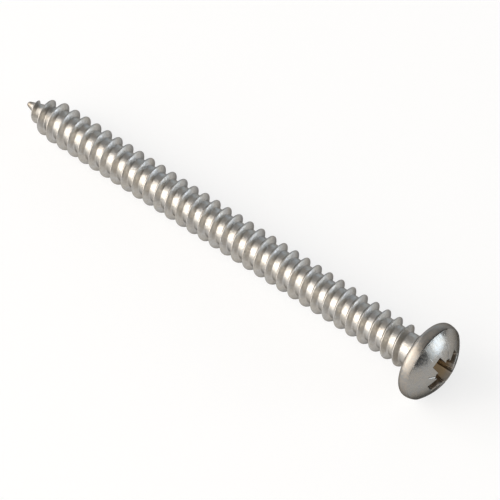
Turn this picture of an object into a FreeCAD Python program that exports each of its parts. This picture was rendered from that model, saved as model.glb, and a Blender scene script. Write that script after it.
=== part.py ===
import math
import os

import FreeCAD
import Part
from FreeCAD import Vector

# A fully threaded pan head sheet metal screw, 4.2 x 50, in millimetres.
# It is built along its own axis: the flat face under the head is at x = 0, the top of the head is
# at +x and the point is at -x.  At the end it is laid on the floor, z = 0, as it comes to rest.

# Driving dimensions: thread
pitch = 1.41
thread_dia = 4.06
core_dia = 2.95
crest_land = 0.10
flank_half_angle = 30.0
crest_phase = 338.6

# Driving dimensions: length, neck and point
length = 50.1
neck_dia = 3.00
under_head_cone = 0.60
thread_stop = 0.95
thread_start = 0.45
run_out = 0.75
cone_length = 4.0
cone_end_dia = 0.42
nose_round = 0.09
nose_cover = 0.02
crest_taper = 4.3
crest_taper_power = 1.95

# Driving dimensions: pan head
head_dia = 7.81
head_height = 2.79
crown_radius = 5.36
crease_inset = 0.155
widest_height = 0.55
bearing_inset = 0.325

# Driving dimensions: cross recess with four secondary notches, and four marks between its wings
wing_direction = 25.0
wing_width = 1.12
wing_span = 4.24
wing_bottom_width = 0.86
wing_bottom_span = 2.40
wing_depth = 2.05
point_depth = 2.35
notch_width = 0.56
notch_span = 2.76
notch_bottom_width = 0.50
notch_bottom_span = 1.90
mark_start = 1.42
mark_end = 2.16
mark_width = 0.15
mark_depth = 0.07

# Straight steps of the helical edges in one turn, which keep the model light
steps_in_turn = 20

# Tied sizes
core_r = core_dia / 2
crest_r = thread_dia / 2
neck_r = neck_dia / 2
head_r = head_dia / 2
bearing_r = head_r - bearing_inset
crease_r = head_r - crease_inset
tip_x = -length
flank_tan = math.tan(math.radians(flank_half_angle))
step_length = pitch / steps_in_turn
last_step = int((length - thread_start - thread_stop) / step_length)
first_x = -thread_stop - last_step * step_length
corner_out = 1 / math.sqrt(math.cos(math.pi / steps_in_turn))
origin = Vector(0, 0, 0)
along = Vector(1, 0, 0)


def core_radius(x):
    """Radius of the core at x: a cylinder that ends in a blunt cone."""
    slope = (core_dia - cone_end_dia) / 2 / cone_length
    return min(core_r, cone_end_dia / 2 + slope * (x - tip_x))


def crest_radius(x):
    """Radius of the thread crest at x, tapered to the point and faded out towards the neck."""
    from_tip = x - tip_x
    radius = crest_r
    if from_tip < crest_taper:
        radius = crest_r * (1 - (1 - from_tip / crest_taper) ** crest_taper_power)
    fade = min(1.0, max(0.0, (-x - thread_stop) / (run_out * pitch)))
    height = (radius - core_radius(x)) * math.sin(fade * math.pi / 2)
    return core_radius(x) + max(height, 0.04)


def thread_point(edge, step):
    """Corner of a helical edge; the corners lie a little outside and the chords inside its true radius."""
    x = first_x + step * step_length
    angle = math.radians(crest_phase) + 2 * math.pi * x / pitch
    side = -1 if edge.endswith("tip") else 1
    radius = crest_radius(x)
    corner_x = x + side * crest_land / 2
    if edge.startswith("root"):
        corner_x += side * (radius - core_radius(x)) * flank_tan
        radius = core_radius(corner_x)
    radius *= corner_out
    return Vector(corner_x, radius * math.cos(angle), radius * math.sin(angle))


def polygon(points):
    return Part.Face(Part.makePolygon(points + [points[0]]))


def facets(edge, other, step, shift=0):
    """Flat faces between one step of two helical edges: one where they lie level, otherwise two."""
    a, b = thread_point(edge, step), thread_point(edge, step + 1)
    c, d = thread_point(other, step + shift), thread_point(other, step + shift + 1)
    if abs((b - a).cross(c - a).normalize().dot(d - a)) < 1e-7:
        return [polygon([a, b, d, c])]
    return [polygon([a, b, d]), polygon([a, d, c])]


def turned(points):
    """Solid of revolution about the screw's axis from (x, radius) corners."""
    outline = [Vector(x, 0, radius) for x, radius in points]
    return polygon(outline).revolve(origin, along, 360)


def close_end(edge, first, outline):
    """Closes the threaded length over one turn with faces down to the axis and a flat face beside them."""
    made = []
    axis = [Vector(thread_point(edge, first + i).x, 0, 0) for i in range(steps_in_turn + 1)]
    for i in range(steps_in_turn):
        chord = Part.makeLine(thread_point(edge, first + i), thread_point(edge, first + i + 1))
        made.append(Part.makeRuledSurface(chord, Part.makeLine(axis[i], axis[i + 1]), 1))
    return made + [polygon(axis[::-1] + outline)]


# Threaded length: flanks, crest and root as helical rows of ruled faces that share their edges
edge_names = ["root_tip", "crest_tip", "crest_head", "root_head"]
last_turn = last_step - steps_in_turn
faces = []
for step in range(last_step):
    for edge, other in zip(edge_names[:-1], edge_names[1:]):
        faces += facets(edge, other, step)
    if step < last_turn:
        faces += facets("root_head", "root_tip", step, steps_in_turn)
for step in (0, last_step):
    faces.append(polygon([thread_point(edge, step) for edge in edge_names]))
faces += close_end("root_tip", 0, [
    thread_point("root_tip", 0), thread_point("root_head", 0), thread_point("root_tip", steps_in_turn)])
faces += close_end("root_head", last_turn, [
    thread_point("root_head", last_turn), thread_point("root_tip", last_step),
    thread_point("root_head", last_step)])
skin = Part.Compound(faces)
skin.sewShape()
threaded = Part.makeSolid(skin.Shells[0])

# Blunt nose over the start of the thread
nose_end = first_x + 0.5 * pitch
nose = turned([
    (tip_x, 0), (tip_x, cone_end_dia / 2 - nose_round), (tip_x + nose_round, cone_end_dia / 2 + nose_cover),
    (nose_end, core_radius(nose_end) + nose_cover), (nose_end, 0)])

# Head: neck, cone, flat face, rounded rim, crease and crown as one turned profile
crown_centre = head_height - crown_radius


def crown_x(radius):
    """Height of the crown over the flat face at a radius."""
    return crown_centre + math.sqrt(crown_radius ** 2 - radius ** 2)


def rim_arc(start_x, start_r, end_x, end_r):
    """Arc that is level with the axis where the head is widest."""
    rise = max(abs(start_x - widest_height), abs(end_x - widest_height))
    drop = head_r - min(start_r, end_r)
    radius = (rise ** 2 + drop ** 2) / (2 * drop)
    mid_x = (start_x + end_x) / 2
    mid_r = head_r - radius + math.sqrt(radius ** 2 - (mid_x - widest_height) ** 2)
    return Part.Arc(Vector(start_x, 0, start_r), Vector(mid_x, 0, mid_r), Vector(end_x, 0, end_r)).toShape()


neck_start = -thread_stop - 1.35 * pitch
crease_x = crown_x(crease_r)
under_head = Part.makePolygon([
    Vector(head_height, 0, 0), Vector(neck_start, 0, 0), Vector(neck_start, 0, neck_r),
    Vector(-under_head_cone, 0, neck_r), Vector(0, 0, neck_r + under_head_cone), Vector(0, 0, bearing_r)])
crown_arc = Part.Arc(
    Vector(crease_x, 0, crease_r), Vector(crown_x(crease_r / 2), 0, crease_r / 2), Vector(head_height, 0, 0))
outline = Part.Wire(under_head.Edges + [
    rim_arc(0, bearing_r, widest_height, head_r),
    rim_arc(widest_height, head_r, crease_x, crease_r),
    crown_arc.toShape()])
head = Part.Face(outline).revolve(origin, along, 360)


def blade(span, bottom_span, width, bottom_width, angle):
    """Cutter across the axis with four walls that lean outwards to the mouth, turned about the axis."""
    bottom = head_height - wing_depth
    mouth = crown_x(span / 2)
    top = head_height + 0.5
    rise = (top - mouth) / (mouth - bottom)
    ends = []
    for x, long, wide in (
            (bottom, bottom_span, bottom_width),
            (top, span + (span - bottom_span) * rise, width + (width - bottom_width) * rise)):
        corners = [Vector(x, i * long / 2, j * wide / 2) for i, j in ((-1, -1), (1, -1), (1, 1), (-1, 1))]
        ends.append(Part.makePolygon(corners + corners[:1]))
    cutter = Part.makeLoft(ends, True, True)
    cutter.rotate(origin, along, angle)
    return cutter


# Recess: a conical bottom, two crossed wings and, between them, the notches and the shallow marks
bottom_point = Vector(head_height - point_depth, 0, 0)
bottom_height = point_depth - wing_depth + 0.12
cutters = [Part.makeCone(0.18, wing_bottom_span * 0.4, bottom_height, bottom_point, along)]
for turn in (0, 90):
    cutters.append(blade(
        wing_span, wing_bottom_span, wing_width, wing_bottom_width, wing_direction + turn))
    cutters.append(blade(
        notch_span, notch_bottom_span, notch_width, notch_bottom_width, wing_direction + turn + 45))
for turn in (45, 135, 225, 315):
    ends = []
    for radius in (mark_start, mark_end):
        groove = Vector(crown_x(radius) - mark_depth, radius, 0)
        rise = Vector(2 * mark_depth, 0, 0)
        spread = Vector(0, 0, mark_width)
        ends.append(Part.makePolygon([groove, groove + rise + spread, groove + rise - spread, groove]))
    mark = Part.makeLoft(ends, True, True)
    mark.rotate(origin, along, wing_direction + turn)
    cutters.append(mark)
for cutter in cutters:
    head = head.cut(cutter)

screw = threaded.fuse(nose).fuse(head).Solids[0]

# Rest: the lower arc of the rim and one crest near the point touch the floor
rim_r = (widest_height ** 2 + bearing_inset ** 2) / (2 * bearing_inset)
tilt = math.pi / 2
for turn in range(int(crest_taper / pitch) + 6):
    crest_x = pitch * (turn + (270 - crest_phase) / 360 - int(length / pitch))
    reach = widest_height - crest_x
    drop = head_r - rim_r - crest_radius(crest_x)
    tilt = min(tilt, math.atan2(drop, reach) + math.asin(rim_r / math.hypot(reach, drop)))
screw.rotate(origin, Vector(0, 1, 0), -math.degrees(tilt))
box = screw.optimalBoundingBox(False)
screw.translate(Vector(-(box.XMin + box.XMax) / 2, -(box.YMin + box.YMax) / 2, -box.ZMin))

os.makedirs("parts", exist_ok=True)
screw.exportStep("parts/screw.step")
print("tilt", round(math.degrees(tilt), 4), "volume", round(screw.Volume, 3), "valid", screw.isValid())
print("box", [round(v, 3) for v in (box.XMin, box.XMax, box.YMin, box.YMax, box.ZMin, box.ZMax)])
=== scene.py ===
import math

import bmesh
import bpy
import numpy as np
from mathutils import Matrix, Vector


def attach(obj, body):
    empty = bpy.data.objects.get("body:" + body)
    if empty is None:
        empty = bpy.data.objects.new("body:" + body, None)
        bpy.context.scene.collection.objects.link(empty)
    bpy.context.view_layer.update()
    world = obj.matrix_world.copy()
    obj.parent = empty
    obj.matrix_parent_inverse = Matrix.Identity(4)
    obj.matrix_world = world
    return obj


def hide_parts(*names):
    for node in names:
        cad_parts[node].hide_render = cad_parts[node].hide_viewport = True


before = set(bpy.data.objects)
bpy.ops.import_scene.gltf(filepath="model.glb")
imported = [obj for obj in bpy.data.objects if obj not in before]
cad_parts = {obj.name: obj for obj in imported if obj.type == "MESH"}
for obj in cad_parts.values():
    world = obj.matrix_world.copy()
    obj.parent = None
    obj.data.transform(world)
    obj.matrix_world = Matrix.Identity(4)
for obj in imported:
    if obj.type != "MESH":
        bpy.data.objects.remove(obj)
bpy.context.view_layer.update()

# Camera, as fitted to the photograph: its direction, its focal length in pixels, and the pixel and
# the distance in millimetres of the centre of the face under the head
camera_azimuth = math.radians(41.2522)
camera_elevation = math.radians(50.7404)
frame_pixels = 500
focal_pixels = 3714.2
face_pixel = (423.13, 357.52)
face_distance = 341.2346

# Sizes in millimetres and angles in degrees, the same as the solid's
pitch = 1.41
thread_dia = 4.06
core_dia = 2.95
crest_land = 0.10
flank_half_angle = 30.0
crest_phase = 338.6
length = 50.1
neck_dia = 3.00
thread_stop = 0.95
run_out = 0.75
cone_length = 4.0
cone_end_dia = 0.42
crest_taper = 4.3
crest_taper_power = 1.95
head_dia = 7.81
head_height = 2.79
crown_radius = 5.36
crease_inset = 0.155
widest_height = 0.55
bearing_inset = 0.325
wing_direction = 25.0
wing_width = 1.12
wing_span = 4.24
wing_bottom_width = 0.86
wing_bottom_span = 2.40
wing_depth = 2.05
point_depth = 2.35
notch_width = 0.56
notch_span = 2.76
notch_bottom_width = 0.50
notch_bottom_span = 1.90
mark_start = 1.42
mark_end = 2.16
mark_width = 0.15
mark_depth = 0.07
cone_point_r = 0.18
cone_mouth_r = wing_bottom_span * 0.4
cone_rise = point_depth - wing_depth + 0.12

# Where the solid lies: the axis rises by the tilt from the centre of the face under the head
tilt = math.radians(2.3379)
face_centre = Vector((23.655, 0.0, 3.882))

core_r = core_dia / 2
crest_r = thread_dia / 2
neck_r = neck_dia / 2
head_r = head_dia / 2
crease_r = head_r - crease_inset
tip_x = -length
crown_centre = head_height - crown_radius
crease_x = crown_centre + math.sqrt(crown_radius ** 2 - crease_r ** 2)

# Roundings in millimetres, where the solid has sharp edges
crest_round = 0.055
root_round = 0.07
cone_round = 0.08
crease_round = 0.03
bearing_round = 0.05
under_head_round = 0.60
wing_round = 0.12
notch_round = 0.06
cutter_round = 0.05
mouth_round = 0.07
mark_round = 0.015

# Distances from the tip over which the thread rises and the nose rounds off, in millimetres
tip_rise = (0.05, 0.5)
nose_length = 0.2

# Where the core widens to the neck and the surface's two meshes meet inside it, in millimetres
core_to_neck = (-2.9, -1.4)
thread_mesh_end = -0.12
stub_start = -0.42
stub_end = 0.5

# Grid of the head in millimetres: low, high, then the fine part of it, along and across the axis
grid_along = (-0.5, 2.95, 0.5, 2.9)
grid_across = (-4.1, 4.1, -2.3, 2.3)
coarse_cell = 0.078
fine_cell = 0.053

# Camera
right = Vector((math.cos(camera_azimuth), math.sin(camera_azimuth), 0))
back = Vector((
    math.sin(camera_azimuth) * math.cos(camera_elevation),
    -math.cos(camera_azimuth) * math.cos(camera_elevation),
    math.sin(camera_elevation)))
up = back.cross(right)
across = (face_pixel[0] - frame_pixels / 2) / focal_pixels
down = (face_pixel[1] - frame_pixels / 2) / focal_pixels
offset = right * across - up * down - back
camera = bpy.data.objects.new("camera", bpy.data.cameras.new("camera"))
bpy.context.scene.collection.objects.link(camera)
camera.data.sensor_width = 36
camera.data.sensor_fit = "HORIZONTAL"
camera.data.lens = focal_pixels / frame_pixels * camera.data.sensor_width
camera.data.clip_start = 0.01
camera.data.clip_end = 10
camera.location = (face_centre - offset * face_distance) / 1000
camera.rotation_mode = "QUATERNION"
camera.rotation_quaternion = Matrix((right, up, back)).transposed().to_quaternion()
bpy.context.scene.camera = camera


def smooth_min(a, b, k):
    """The smaller of two fields, rounded where they differ by less than k."""
    h = np.clip(0.5 + 0.5 * (b - a) / k, 0, 1)
    return b * (1 - h) + a * h - k * h * (1 - h)


def smooth_max(a, b, k):
    """The larger of two fields, rounded in the same way."""
    return -smooth_min(-a, -b, k)


def smooth_step(low, high, value):
    """0 below low, 1 above high and a smooth rise between them."""
    t = np.clip((value - low) / (high - low), 0, 1)
    return t * t * (3 - 2 * t)


# Thread: a grid that follows the helix, one column to each angle, rows close together at crest and root
columns = 48
half_rows = [0.03, 0.055, 0.085, 0.18, 0.28, 0.335, 0.37, 0.405, 0.46, 0.57]
rows = sorted([-s for s in half_rows] + [0.0] + half_rows + [pitch / 2])


def thread_radius(x, from_crest):
    """Radius of the threaded surface at x, at a distance along the axis from the nearest crest."""
    from_tip = np.maximum(x - tip_x, 0)
    slope = (core_dia - cone_end_dia) / 2 / cone_length
    core = smooth_min(cone_end_dia / 2 + slope * from_tip, np.full_like(x, core_r), cone_round)
    core = core + (neck_r - core_r) * smooth_step(*core_to_neck, x)
    crest = np.full_like(x, crest_r)
    near = from_tip < crest_taper
    crest[near] = crest_r * (1 - (1 - from_tip[near] / crest_taper) ** crest_taper_power)
    fade = np.clip((-x - thread_stop) / (run_out * pitch), 0, 1)
    height = np.maximum(crest - core, 0) * np.sin(fade * math.pi / 2) * smooth_step(*tip_rise, from_tip)
    flank = height - (np.abs(from_crest) - crest_land / 2) / math.tan(math.radians(flank_half_angle))
    ridge = smooth_min(flank, height, crest_round)
    ridge = smooth_max(ridge, np.zeros_like(x), np.minimum(root_round, 0.02 + height * 0.2))
    radius = core + ridge
    nose = np.clip(from_tip / nose_length, 0, 1)
    return radius * np.sqrt(1 - (1 - nose) ** 2)


def thread_grid():
    """Points and quads of the threaded length, which ends in a point at the tip and open in the neck."""
    period = len(rows)
    turns = range(-int(length / pitch) - 3, 3)
    along = np.array([turn * pitch + s for turn in turns for s in rows])
    nearest = np.array([s if s < pitch / 2 else pitch / 2 for turn in turns for s in rows])
    angle = 2 * math.pi * np.arange(columns) / columns
    first = pitch * (angle / (2 * math.pi) - crest_phase / 360)
    x = along[None, :] + first[:, None]
    from_crest = np.broadcast_to(nearest[None, :], x.shape)
    # Points past the tip are drawn together on it, without a step in their spacing
    soft = 0.16
    past_tip = np.clip(x - (tip_x - soft), 0, None)
    x = np.where(past_tip < 2 * soft, tip_x + past_tip * past_tip / (4 * soft), x)
    x = np.minimum(x, thread_mesh_end)
    radius = thread_radius(x, from_crest)
    # Crests of a rolled thread are a little uneven, away from both of its ends
    wave = 0.004 * np.sin(x * 1.9 + 3 * np.cos(angle)[:, None])
    wave += 0.003 * np.sin(x * 5.3 + 5 * angle[:, None])
    wave *= smooth_step(tip_x, tip_x + 3, x) * smooth_step(-2, -4, x)
    radius = radius * (1 + wave * (radius - core_r))
    points = np.stack([x, radius * np.cos(angle)[:, None], radius * np.sin(angle)[:, None]], -1)
    count = points.shape[1]
    corner = np.arange(columns * count).reshape(columns, count)
    here = corner[:, : count - period - 1]
    beside = np.vstack([corner[1:, : count - period - 1], corner[:1, period: count - 1]])
    above = corner[:, 1: count - period]
    beside_above = np.vstack([corner[1:, 1: count - period], corner[:1, period + 1: count]])
    quads = np.stack([here, above, beside_above, beside], -1).reshape(-1, 4)
    return points.reshape(-1, 3), quads


def turned(points, angle):
    """Components of points along and across a direction at that angle about the axis."""
    a = math.radians(angle)
    c, s = math.cos(a), math.sin(a)
    return points[..., 1] * c + points[..., 2] * s, -points[..., 1] * s + points[..., 2] * c


def blade(points, span, bottom_span, width, bottom_width, angle, edge):
    """Distance field of a cutter across the axis with four walls that lean outwards to the mouth."""
    bottom = head_height - wing_depth
    mouth = crown_centre + math.sqrt(crown_radius ** 2 - span ** 2 / 4)
    walls = []
    for offset, wide, narrow in zip(turned(points, angle), (span, width), (bottom_span, bottom_width)):
        lean = (wide - narrow) / 2 / (mouth - bottom)
        walls.append((np.abs(offset) - narrow / 2 - lean * (points[..., 0] - bottom)) / math.hypot(1, lean))
    return smooth_max(smooth_max(walls[0], walls[1], edge), bottom - points[..., 0], edge)


def head_field(points):
    """Distance field of the head, negative inside."""
    x = points[..., 0]
    r = np.hypot(points[..., 1], points[..., 2])
    crown = np.sqrt((x - crown_centre) ** 2 + r ** 2) - crown_radius
    low_r = (widest_height ** 2 + bearing_inset ** 2) / (2 * bearing_inset)
    rise = crease_x - widest_height
    high_r = (rise ** 2 + crease_inset ** 2) / (2 * crease_inset)
    arc_r = np.where(x < widest_height, low_r, high_r)
    along_arc = np.clip(x - widest_height, -widest_height - 0.05, rise + 0.1)
    outward = np.sqrt(arc_r ** 2 - along_arc ** 2)
    rim = (r - head_r + arc_r - outward) * outward / arc_r
    field = smooth_max(crown, rim, crease_round)
    field = smooth_max(field, -x, bearing_round)
    neck = np.maximum(r - neck_r, x - stub_end)
    field = smooth_min(field, neck, under_head_round)
    field = np.maximum(field, stub_start - x)
    # The recess, then the marks
    over_point = x - head_height + point_depth
    slope = (cone_mouth_r - cone_point_r) / cone_rise
    cut = (r - cone_point_r - slope * over_point) / math.hypot(1, slope)
    cut = np.maximum(cut, np.maximum(over_point - cone_rise, -over_point))
    for turn in (0, 90):
        wing = blade(
            points, wing_span, wing_bottom_span, wing_width, wing_bottom_width,
            wing_direction + turn, wing_round)
        notch = blade(
            points, notch_span, notch_bottom_span, notch_width, notch_bottom_width,
            wing_direction + turn + 45, notch_round)
        cut = smooth_min(cut, smooth_min(wing, notch, cutter_round), cutter_round)
    marks = []
    for turn in (45, 135, 225, 315):
        across, through = turned(points, wing_direction + turn)
        depth = mark_depth - (crown_radius - np.sqrt((x - crown_centre) ** 2 + r ** 2))
        middle = (mark_start + mark_end) / 2
        ends = np.abs(across - middle) - (mark_end - mark_start) / 2
        slant = 0.5 * mark_width / mark_depth
        mark = (np.hypot(through, 0.01) - 0.008 - slant * depth) / math.hypot(1, slant)
        marks.append(np.maximum(mark, ends))
    field = smooth_max(field, -cut, mouth_round)
    return smooth_max(field, -np.minimum.reduce(marks), mark_round)


def field_normal(points):
    """Unit normal of the head's field at points."""
    step = 0.004
    normal = np.zeros_like(points)
    for i in range(3):
        shift = np.zeros(3)
        shift[i] = step
        normal[..., i] = head_field(points + shift) - head_field(points - shift)
    return normal / np.maximum(np.linalg.norm(normal, axis=-1, keepdims=True), 1e-9)


def in_line(points):
    """Turns points of a grid that lies along the wings to the screw's own frame."""
    across, through = turned(points, -wing_direction)
    return np.stack([points[..., 0], across, through], -1)


def spaced(low, high, fine_low, fine_high, coarse, fine):
    """Grid lines from low to high, closer together between two of them."""
    parts = []
    for start, end, gap in ((low, fine_low, coarse), (fine_low, fine_high, fine), (fine_high, high, coarse)):
        parts.append(np.linspace(start, end, max(2, round((end - start) / gap) + 1))[:-1])
    return np.concatenate(parts + [[high]])


def field_mesh(coarse, fine):
    """Quads over the zero level of the head's field, one corner to each cell that it crosses."""
    across_lines = spaced(*grid_across, coarse, fine)
    axes = [spaced(*grid_along, coarse, fine), across_lines, across_lines]
    size = np.array([len(axis) - 1 for axis in axes])
    layers = []
    for x in axes[0]:
        layer = np.stack(np.meshgrid([x], axes[1], axes[2], indexing="ij"), -1)
        layers.append(head_field(in_line(layer))[0])
    value = np.stack(layers)
    inside = value < 0
    # One corner to a cell: the mean of the places where its edges cross the surface
    total = np.zeros(tuple(size) + (3,))
    count = np.zeros(tuple(size))
    for axis in range(3):
        for a in (0, 1):
            for b in (0, 1):
                start = [0, 0, 0]
                others = [i for i in range(3) if i != axis]
                start[others[0]], start[others[1]] = a, b
                end = list(start)
                end[axis] = 1
                low_value = value[tuple(slice(start[i], start[i] + size[i]) for i in range(3))]
                high_value = value[tuple(slice(end[i], end[i] + size[i]) for i in range(3))]
                crosses = (low_value < 0) != (high_value < 0)
                share = np.where(crosses, low_value / np.where(crosses, low_value - high_value, 1), 0)
                for i in range(3):
                    total[..., i] += crosses * (share if i == axis else start[i])
                count += crosses
    used = np.argwhere(count > 0)
    number = np.full(tuple(size), -1)
    number[tuple(used.T)] = np.arange(len(used))
    chosen = tuple(used.T)
    low = np.stack([axes[i][used[:, i]] for i in range(3)], -1)
    cell = np.stack([np.diff(axes[i])[used[:, i]] for i in range(3)], -1)
    points = in_line(low + cell * total[chosen] / count[chosen][:, None])
    # The corners move onto the surface, but not far from their cells
    start_points = points.copy()
    reach = 0.6 * cell.min(axis=-1, keepdims=True)
    for _ in range(4):
        distance = head_field(points)
        points = points - 0.9 * distance[:, None] * field_normal(points)
        points = np.clip(points, start_points - reach, start_points + reach)
    # One quad round each edge that crosses the surface
    quads = []
    for axis in range(3):
        first = [slice(1, size[i]) for i in range(3)]
        first[axis] = slice(0, size[axis])
        ahead = list(first)
        ahead[axis] = slice(1, size[axis] + 1)
        here = inside[tuple(first)]
        there = inside[tuple(ahead)]
        where = np.argwhere(here != there)
        where = where + np.array([0 if i == axis else 1 for i in range(3)])
        leaving = here[here != there]
        p, q = (axis + 1) % 3, (axis + 2) % 3
        ring = []
        for dp, dq in ((-1, -1), (0, -1), (0, 0), (-1, 0)):
            cell_index = where.copy()
            cell_index[:, p] += dp
            cell_index[:, q] += dq
            ring.append(number[tuple(cell_index.T)])
        ring = np.stack(ring, -1)
        ring[~leaving] = ring[~leaving][:, ::-1]
        quads.append(ring)
    return points, np.concatenate(quads)


def new_mesh(name, parts):
    """One mesh object of several (points, quads), turned and moved to where the solid lies, in metres."""
    points = np.concatenate([part[0] for part in parts])
    quads = []
    base = 0
    for part_points, part_quads in parts:
        quads.append(part_quads + base)
        base += len(part_points)
    quads = np.concatenate(quads)
    c, s = math.cos(tilt), math.sin(tilt)
    placed = np.stack([
        points[:, 0] * c - points[:, 2] * s, points[:, 1], points[:, 0] * s + points[:, 2] * c], -1)
    placed = (placed + np.array(face_centre)) / 1000
    mesh = bpy.data.meshes.new(name)
    mesh.from_pydata(placed.tolist(), [], quads.tolist())
    mesh.validate()
    piece = bpy.data.objects.new(name, mesh)
    bpy.context.scene.collection.objects.link(piece)
    return piece


screw = new_mesh("screw_surface", [thread_grid(), field_mesh(coarse_cell, fine_cell)])
work = bmesh.new()
work.from_mesh(screw.data)
bmesh.ops.remove_doubles(work, verts=work.verts, dist=2e-7)
bmesh.ops.dissolve_degenerate(work, edges=work.edges, dist=1e-7)
for face in work.faces:
    face.smooth = True

# Crisp crease between rim and crown: the mesh is cut at its height, beyond outer_ring metres from the
# axis, and the cut moved to its radius
forward = Vector((math.cos(tilt), 0, math.sin(tilt)))
crease_centre = (face_centre + forward * crease_x) / 1000
outer_ring = 0.0034
outer = set()
for corner in work.verts:
    from_centre = corner.co - crease_centre
    if (from_centre - forward * from_centre.dot(forward)).length > outer_ring:
        outer.add(corner)
ring = [v for v in work.verts if v in outer]
for pieces in (work.edges, work.faces):
    ring += [piece for piece in pieces if all(v in outer for v in piece.verts)]
cut = bmesh.ops.bisect_plane(
    work, geom=ring, dist=6e-6, plane_co=crease_centre, plane_no=forward)["geom_cut"]
for item in cut:
    if isinstance(item, bmesh.types.BMVert):
        item.co = crease_centre + (item.co - crease_centre).normalized() * crease_r / 1000
    elif isinstance(item, bmesh.types.BMEdge):
        item.smooth = False
work.to_mesh(screw.data)
work.free()
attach(screw, "root")
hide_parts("screw")


def material(name):
    """A new material with its nodes and links."""
    made = bpy.data.materials.new(name)
    made.use_nodes = True
    return made, made.node_tree.nodes, made.node_tree.links


def node(kind, inputs, **settings):
    """A new node in the current material, each input either linked or set to a value."""
    made = nodes.new(kind)
    for name, value in settings.items():
        setattr(made, name, value)
    for name, value in inputs.items():
        if isinstance(value, bpy.types.NodeSocket):
            links.new(value, made.inputs[name])
        else:
            made.inputs[name].default_value = value
    return made


def maths(operation, a, b=0.0, c=0.0):
    return node("ShaderNodeMath", {0: a, 1: b, 2: c}, operation=operation).outputs[0]


def step_between(value, low, high, to_low=0.0, to_high=1.0):
    """Smooth step of a value from low to high, between two results."""
    return node("ShaderNodeMapRange", {
        "Value": value, "From Min": low, "From Max": high, "To Min": to_low, "To Max": to_high},
        interpolation_type="SMOOTHSTEP").outputs["Result"]


def noise(x, y, z, scales, detail=2.0, rough=0.5):
    """Noise at a place, with a scale along each axis."""
    scaled = [maths("MULTIPLY", value, scale) for value, scale in zip((x, y, z), scales)]
    where = node("ShaderNodeCombineXYZ", dict(enumerate(scaled)))
    return node("ShaderNodeTexNoise", {
        "Vector": where.outputs[0], "Scale": 1.0, "Detail": detail, "Roughness": rough}).outputs["Fac"]


def blend(share, a, b):
    """Colour between a and b."""
    return node("ShaderNodeMix", {0: share, 6: a, 7: b}, data_type="RGBA").outputs[2]


def between(share, a, b):
    """Number between a and b."""
    return node("ShaderNodeMix", {0: share, 2: a, 3: b}, data_type="FLOAT").outputs[0]


def hairlines(x, y, z, scales):
    """Thin curved lines, 1 on them and 0 elsewhere."""
    level = maths("ABSOLUTE", maths("SUBTRACT", noise(x, y, z, scales, 1.0), 0.5))
    return step_between(level, 0.012, 0.003)


# Tints of the steel, with the head's pair darker than the shank's as painted shade on the same steel
shank_tints = (0.493, 0.472, 0.438, 1), (0.48, 0.475, 0.465, 1)
head_painted_shade_tints = (0.296, 0.283, 0.262, 1), (0.286, 0.287, 0.282, 1)
worn_tint = (0.40, 0.355, 0.30, 1)
rim_tint = (0.39, 0.345, 0.30, 1)
recess_tint = (0.42, 0.315, 0.19, 1)
# Painted shade: a darker brown for the nose
nose_painted_shade_tint = (0.30, 0.25, 0.195, 1)

steel, nodes, links = material("stainless_steel")

# Places in the material are in the screw's own millimetres: x along it, r from its axis
c, s = math.cos(tilt), math.sin(tilt)
moved = node("ShaderNodeMapping", {
    "Vector": node("ShaderNodeTexCoord", {}).outputs["Object"], "Scale": (1000, 1000, 1000),
    "Rotation": (0, tilt, 0),
    "Location": (-(c * face_centre.x + s * face_centre.z), 0, s * face_centre.x - c * face_centre.z)})
apart = node("ShaderNodeSeparateXYZ", {0: moved.outputs[0]})
x, y, z = apart.outputs
r = maths("SQRT", maths("ADD", maths("MULTIPLY", y, y), maths("MULTIPLY", z, z)))
round_y, round_z = maths("DIVIDE", y, r), maths("DIVIDE", z, r)
from_centre = maths("POWER", maths("SUBTRACT", x, crown_centre), 2.0)
from_centre = maths("SQRT", maths("ADD", maths("MULTIPLY", r, r), from_centre))
below_crown = maths("SUBTRACT", crown_radius, from_centre)

# Parts of the screw, 1 on them and 0 elsewhere
on_head = step_between(x, -0.3, 0.3)
on_crown = maths("MULTIPLY", step_between(below_crown, 0.06, 0.02), step_between(x, 0.8, 1.0))
on_rim = maths("MULTIPLY", on_head, maths("SUBTRACT", 1.0, on_crown))
in_recess = maths("MULTIPLY", step_between(r, 2.6, 2.3), step_between(x, 0.2, 0.5))
in_recess = maths("MULTIPLY", step_between(below_crown, 0.08, 0.9), in_recess)
on_nose = step_between(x, -49.0, -49.7)

# Fine lines: round the rim and along the thread from rolling, outwards on the crown from tumbling
lines_round = noise(x, round_y, round_z, (26.0, 1.6, 1.6), 3.0, 0.6)
lines_out = noise(r, round_y, round_z, (0.9, 14.0, 14.0), 3.0, 0.65)
cloud = noise(x, y, z, (0.9, 0.9, 0.9), 2.0)
mottle = noise(x, y, z, (5.0, 5.0, 5.0), 3.0, 0.6)
grain = noise(x, y, z, (22.0, 22.0, 22.0), 2.0)
lines = between(on_crown, lines_round, lines_out)

# Colour: clouds of two tints, the head darker than the shank as painted shade, worn patches, then the rim,
# the recess and the nose
clouded = step_between(cloud, 0.35, 0.65)
tint = blend(on_head, blend(clouded, *shank_tints), blend(clouded, *head_painted_shade_tints))
tint = blend(step_between(mottle, 0.38, 0.62, 0.0, 0.35), tint, worn_tint)
tint = blend(maths("MULTIPLY", on_rim, step_between(mottle, 0.38, 0.62, 0.15, 0.6)), tint, rim_tint)
tint = blend(maths("MULTIPLY", in_recess, 0.85), tint, recess_tint)
# Painted shade: the nose is tinted darker brown
tint = blend(maths("MULTIPLY", on_nose, 0.7), tint, nose_painted_shade_tint)

# Roughness: the crown is the smoothest
rough = between(on_crown, 0.37, 0.22)
rough = maths("ADD", rough, step_between(mottle, 0.35, 0.65, -0.04, 0.06))
rough = maths("ADD", rough, step_between(lines, 0.35, 0.65, -0.03, 0.04))

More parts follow.
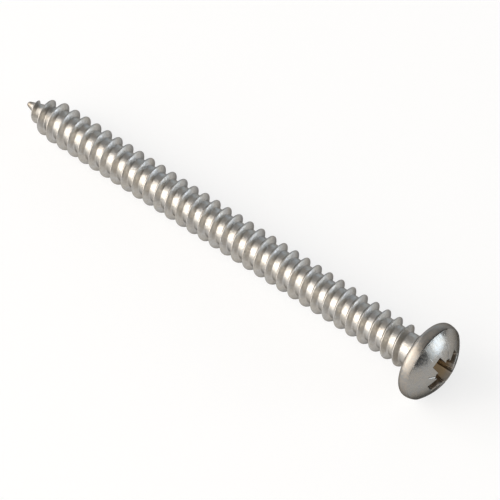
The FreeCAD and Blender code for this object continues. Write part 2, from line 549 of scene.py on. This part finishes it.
# Scratches: fine ones all over, and a deeper straight one on the crown, where the photo has it
scratches = maths("MAXIMUM", hairlines(x, y, z, (0.5, 2.6, 0.7)), hairlines(z, x, y, (0.6, 0.9, 2.3)))
scratches = maths("MULTIPLY", scratches, step_between(cloud, 0.4, 0.6))
scratch_y, scratch_z = 0.265, -0.964
lengthwise = maths("ADD", maths("MULTIPLY", y, scratch_y), maths("MULTIPLY", z, scratch_z))
sideways = maths("SUBTRACT", maths("MULTIPLY", z, scratch_y), maths("MULTIPLY", y, scratch_z))
sideways = maths("ABSOLUTE", maths("ADD", sideways, 0.56))
deep = maths("MULTIPLY", step_between(lengthwise, -2.9, -2.7), step_between(lengthwise, -1.95, -2.15))
deep = maths("MULTIPLY", deep, step_between(sideways, 0.06, 0.01))
scratches = maths("ADD", scratches, maths("MULTIPLY", maths("MULTIPLY", deep, on_crown), 6.0))

# Relief of them all, in shares of relief_depth metres, with the thread more uneven than the head
relief_depth = 0.000012
height = maths("ADD", maths("MULTIPLY", lines, 0.42), maths("MULTIPLY", mottle, between(on_head, 4.5, 0.8)))
height = maths("ADD", height, maths("MULTIPLY", grain, 0.12))
height = maths("ADD", height, maths("MULTIPLY", scratches, -0.22))
bump = node("ShaderNodeBump", {"Strength": 0.55, "Distance": relief_depth, "Height": height})
shader = nodes["Principled BSDF"]
shader.inputs["Metallic"].default_value = 1.0
shader.inputs["Specular Tint"].default_value = (0.16, 0.16, 0.16, 1)
links.new(tint, shader.inputs["Base Color"])
links.new(rough, shader.inputs["Roughness"])
links.new(bump.outputs[0], shader.inputs["Normal"])
screw.data.materials.append(steel)

# Floor: white where the camera or the metal sees it, and a plain pale surface for all other light
floor_mesh = bpy.data.meshes.new("floor")
floor_mesh.from_pydata([(-3, -3, 0), (3, -3, 0), (3, 3, 0), (-3, 3, 0)], [], [(0, 1, 2, 3)])
floor = bpy.data.objects.new("floor", floor_mesh)
bpy.context.scene.collection.objects.link(floor)
paper, nodes, links = material("floor")
shader = nodes["Principled BSDF"]
shader.inputs["Base Color"].default_value = (0.95, 0.95, 0.95, 1)
shader.inputs["Roughness"].default_value = 0.9
shader.inputs["Specular IOR Level"].default_value = 0.0
glow = node("ShaderNodeEmission", {"Strength": 1.0})
path = node("ShaderNodeLightPath", {}).outputs
seen = maths("MAXIMUM", path["Is Camera Ray"], path["Is Glossy Ray"])
seen = maths("MAXIMUM", seen, path["Is Transmission Ray"])
glow_share = maths("MULTIPLY", seen, 0.72)
mix = node("ShaderNodeMixShader", {0: glow_share, 1: shader.outputs[0], 2: glow.outputs[0]})
links.new(mix.outputs[0], nodes["Material Output"].inputs["Surface"])
floor.data.materials.append(paper)


def lamp(name, azimuth, elevation, width, height, radiance, colour=(1, 1, 1)):
    """Soft box at a direction from the origin, its width and height as angles in degrees."""
    distance = 0.9
    a, e = math.radians(azimuth), math.radians(elevation)
    direction = Vector((math.cos(a) * math.cos(e), math.sin(a) * math.cos(e), math.sin(e)))
    data = bpy.data.lights.new(name, "AREA")
    data.shape = "RECTANGLE"
    data.size = 2 * distance * math.tan(math.radians(width) / 2)
    data.size_y = 2 * distance * math.tan(math.radians(height) / 2)
    data.energy = radiance * data.size * data.size_y * math.pi
    data.color = colour
    made = bpy.data.objects.new(name, data)
    bpy.context.scene.collection.objects.link(made)
    made.location = direction * distance
    made.rotation_mode = "QUATERNION"
    made.rotation_quaternion = direction.to_track_quat("Z", "Y")


# Warm from the camera's left and front, cold from its right and from behind, as the photo shows
lamp("key", 217, 19, 48, 44, 3.3, (1, 0.96, 0.905))
lamp("front", 258, 32, 52, 62, 2.4, (1, 0.945, 0.87))
lamp("high", 219, 50, 34, 20, 2.0, (1, 0.95, 0.88))
lamp("left", 186, 24, 18, 46, 1.6, (1, 0.98, 0.96))
lamp("back_right", 33, 13, 28, 26, 3.7, (0.82, 0.91, 1))
lamp("right", 12, 13, 16, 26, 1.7, (0.80, 0.90, 1))
lamp("right_high", 345, 38, 50, 22, 0.4, (1, 0.9, 0.75))
lamp("front_right", 302, 36, 34, 44, 0.6, (1, 0.93, 0.88))
lamp("back_left", 132, 12, 72, 28, 1.0, (0.76, 0.88, 1))
lamp("rear", 112, 44, 44, 28, 0.28, (1, 0.93, 0.85))
lamp("top", 150, 70, 70, 36, 0.32)

# World: a low even light
world = bpy.data.worlds.new("world")
bpy.context.scene.world = world
world.use_nodes = True
world.node_tree.nodes["Background"].inputs["Color"].default_value = (0.12, 0.12, 0.12, 1)
world.node_tree.nodes["Background"].inputs["Strength"].default_value = 1.0

bpy.context.scene.view_settings.view_transform = "Standard"

print("triangles", sum(len(p.vertices) - 2 for p in screw.data.polygons))
